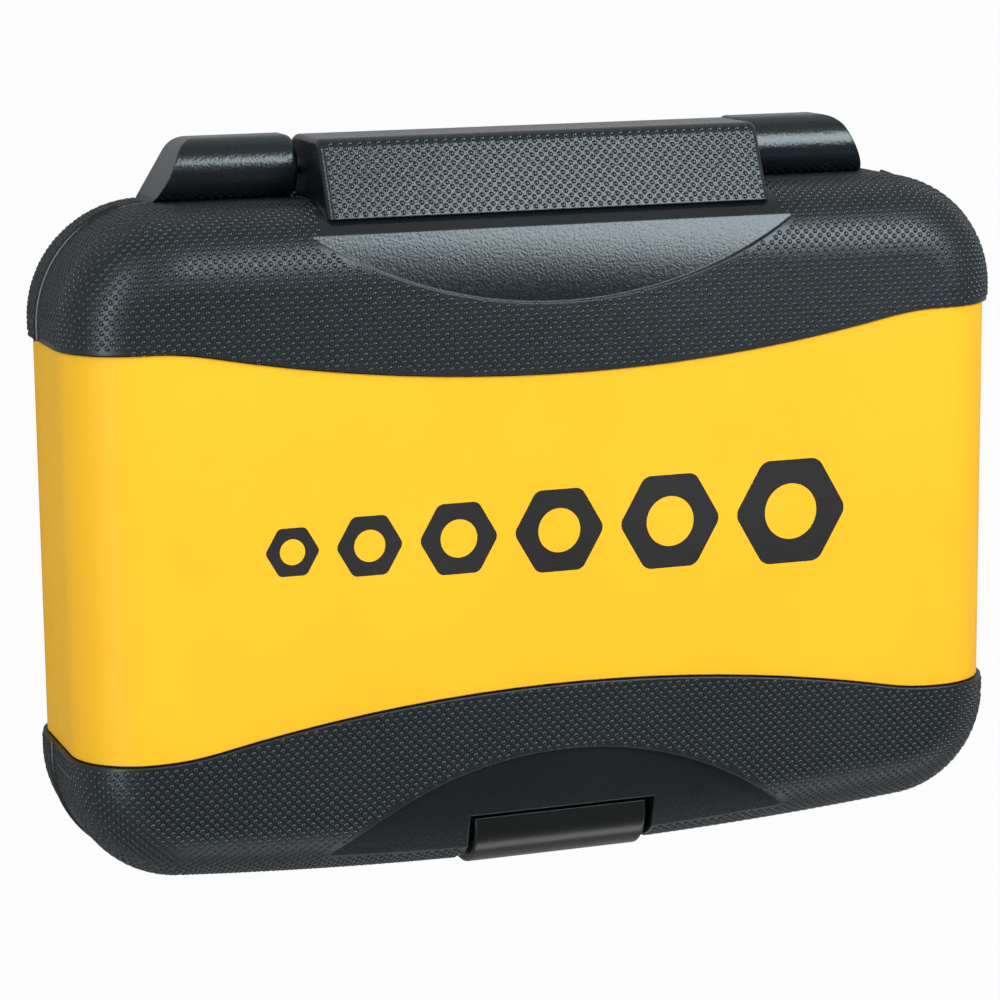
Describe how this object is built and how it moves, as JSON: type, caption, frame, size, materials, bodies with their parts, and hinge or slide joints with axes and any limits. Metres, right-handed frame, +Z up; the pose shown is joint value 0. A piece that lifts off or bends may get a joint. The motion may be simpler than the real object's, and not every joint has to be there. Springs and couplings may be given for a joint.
{
  "type": "socket set case",
  "caption": "Small hard case for a socket set: black moulded halves with yellow covers, a rear hinge, a front latch, a base tray with graded socket beds and a lid liner.",
  "frame": {"origin": "on the surface the case lies on, under the middle of its whole outline", "axes": "+Z up through the lid, +Y towards the hinge, +X to the right seen from the latch side"},
  "size_m": [0.25, 0.187, 0.0619],
  "materials": {
    "black_plastic": "dotted moulded grain",
    "yellow_plastic": "satin",
    "tray_plastic": "fine grain",
    "latch_plastic": "smooth",
    "pin_steel": "ground",
    "screw_steel": "zinc plated"
  },
  "bodies": {
    "base": {"base_shell": "black_plastic", "base_panel": "yellow_plastic", "base_tray": "tray_plastic", "base_tray_screws": "screw_steel", "hinge_pin_left": "pin_steel", "hinge_pin_right": "pin_steel", "latch_pin": "pin_steel"},
    "lid": {"lid_shell": "black_plastic", "lid_panel": "yellow_plastic", "lid_tray": "tray_plastic", "lid_tray_screws": "screw_steel"},
    "latch": {"latch": "latch_plastic"}
  },
  "joints": [
    {"name": "lid_hinge", "type": "hinge", "parent": "base", "child": "lid", "pos_m": [0, 0.0857, 0.0278], "axis": [-1, 0, 0], "range_deg": [0, 165]},
    {"name": "latch_hinge", "type": "hinge", "parent": "base", "child": "latch", "pos_m": [0, -0.0898, 0.0158], "axis": [1, 0, 0], "range_deg": [0, 95]}
  ]
}
